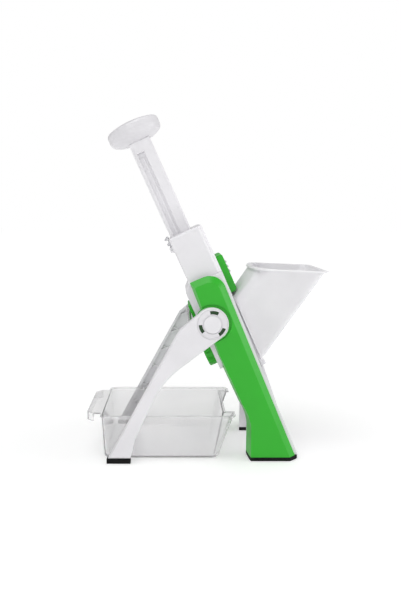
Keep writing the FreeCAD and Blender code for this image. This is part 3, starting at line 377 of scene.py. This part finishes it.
def wire_piece(name, points, radius, material):
    """Round wire through a list of points, with capped ends."""
    curve = bpy.data.curves.new(name, "CURVE")
    curve.dimensions = "3D"
    curve.bevel_depth = radius
    curve.bevel_resolution = WIRE_RESOLUTION
    curve.use_fill_caps = True
    spline = curve.splines.new("NURBS")
    spline.points.add(len(points) - 1)
    for target, point in zip(spline.points, points):
        target.co = (*point, 1)
    spline.order_u = 4
    spline.use_endpoint_u = True
    made = bpy.data.objects.new(name + "_curve", curve)
    bpy.context.scene.collection.objects.link(made)
    mesh = bpy.data.meshes.new_from_object(made)
    bpy.data.objects.remove(made)
    piece = bpy.data.objects.new(name, mesh)
    bpy.context.scene.collection.objects.link(piece)
    mesh.materials.append(material)
    for polygon in mesh.polygons:
        polygon.use_smooth = True
    return piece


def spring_points(sign):
    """Centre line of one spring, with its turns closer together at both ends."""
    low = SPRING_LOW + WIRE_R
    high = SPRING_TOP - WIRE_R - TOP_GAP
    steps = TURNS * STEPS_PER_TURN
    points = []
    for k in range(steps + 1):
        share = k / steps
        ease = share - math.sin(FULL_TURN * share) * END_CLOSING / FULL_TURN
        angle = FULL_TURN * k / STEPS_PER_TURN
        t = ROD_T + COIL_R * math.cos(angle)
        y = sign * ROD_Y + COIL_R * math.sin(angle)
        points.append(leaning(t, y, low + ease * (high - low)))
    return points


def return_springs():
    """Compression springs, one on each guide rod."""
    for side, sign in SIDES:
        spring = wire_piece(side + "_spring_wire", spring_points(sign), WIRE_R * MM, STEEL_ROD)
        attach(spring, "frame")
        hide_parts(side + "_return_spring")
        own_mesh(spring)


return_springs()


# Stage, lights and camera, in metres

FLOOR_RADIUS = 12.0
FLOOR_DROP = 0.0002                       # the floor lies this far under the soles
GLOW_START = 0.18                         # the floor's glow grows between these two distances
GLOW_END = 1.5
MIDDLE = (0, 0, 0.18)                     # the lamps point here
LAMPS = (                                 # name, place, size, power in watts
    ("right_box", (1.9, -0.15, 0.75), 1.0, 7),
    ("overhead_box", (-0.45, -0.35, 1.85), 1.5, 14),
    ("front_box", (-0.5, -2.3, 0.9), 1.2, 8),
)
SKY_STAND_SIDE = 0.26                     # strength of the soft light from each end of the x axis
SKY_HOPPER_SIDE = 0.74
CAMERA_PLACE = (-0.0332, -0.6917, 0.2691)
CAMERA_DIP = 7.92                         # degrees below level
CAMERA_LENS = 35.53
CAMERA_SENSOR = 36.0
CAMERA_SHIFT_X = 0.0391
CAMERA_CLIP_START = 0.01


def stage():
    """Plain pale floor. It glows more with distance, so it meets the white surroundings."""
    bpy.ops.mesh.primitive_circle_add(vertices=96, radius=FLOOR_RADIUS, fill_type="NGON",
                                      location=(0, 0, -FLOOR_DROP))
    floor = bpy.context.object
    floor.name = "floor"
    g = Graph("pale_floor")
    g.feed("Base Color", g.two_tone(g.noise(scale=4), *FLOOR_TONES))
    g.set(Roughness=0.8, Specular_IOR_Level=0.1, Emission_Strength=0.62)
    away = g.radius_from((0, 0, 0), keep=(1, 1, 0))
    far_share = g.span(away, low=0.0, high=1.0, from_low=GLOW_START, from_high=GLOW_END)
    g.feed("Emission Color", g.mixed(far_share, FLOOR_GLOW_NEAR, FLOOR_GLOW_FAR))
    floor.data.materials.append(g.material)


def area_light(name, place, size, power):
    light = bpy.data.lights.new(name, "AREA")
    light.shape = "DISK"
    light.size = size
    light.energy = power
    lamp = bpy.data.objects.new(name, light)
    lamp.location = place
    lamp.rotation_euler = (Vector(MIDDLE) - Vector(place)).to_track_quat("-Z", "Y").to_euler()
    bpy.context.scene.collection.objects.link(lamp)


def soft_surroundings():
    """Soft light that is stronger from the hopper's side, and plain white where it is seen directly."""
    world = bpy.data.worlds.new("studio")
    bpy.context.scene.world = world
    world.use_nodes = True
    nodes = world.node_tree.nodes
    links = world.node_tree.links
    way = nodes.new("ShaderNodeTexCoord")
    split = nodes.new("ShaderNodeSeparateXYZ")
    fall = new_node(nodes, "ShaderNodeMapRange", From_Min=-1.0, From_Max=1.0,
                    To_Min=SKY_STAND_SIDE, To_Max=SKY_HOPPER_SIDE)
    soft = nodes["Background"]
    soft.inputs["Color"].default_value = FULL_WHITE
    links.new(way.outputs["Generated"], split.inputs["Vector"])
    links.new(split.outputs["X"], fall.inputs["Value"])
    links.new(fall.outputs["Result"], soft.inputs["Strength"])
    seen = new_node(nodes, "ShaderNodeBackground", Color=FULL_WHITE, Strength=1.0)
    path = nodes.new("ShaderNodeLightPath")
    either = nodes.new("ShaderNodeMath")
    either.operation = "MAXIMUM"
    links.new(path.outputs["Is Camera Ray"], either.inputs[0])
    links.new(path.outputs["Is Transmission Ray"], either.inputs[1])
    mix = nodes.new("ShaderNodeMixShader")
    links.new(either.outputs["Value"], mix.inputs["Fac"])
    links.new(soft.outputs["Background"], mix.inputs[1])
    links.new(seen.outputs["Background"], mix.inputs[2])
    links.new(mix.outputs["Shader"], nodes["World Output"].inputs["Surface"])


def lights():
    for name, place, size, power in LAMPS:
        area_light(name, place, size, power)
    soft_surroundings()


def camera():
    data = bpy.data.cameras.new("camera")
    data.sensor_width = CAMERA_SENSOR
    data.lens = CAMERA_LENS
    data.shift_x = CAMERA_SHIFT_X
    data.clip_start = CAMERA_CLIP_START
    seat = bpy.data.objects.new("camera", data)
    seat.location = CAMERA_PLACE
    seat.rotation_euler = (math.radians(90 - CAMERA_DIP), 0, 0)
    bpy.context.scene.collection.objects.link(seat)
    bpy.context.scene.camera = seat
    bpy.context.scene.view_settings.view_transform = "Standard"


stage()
lights()
camera()
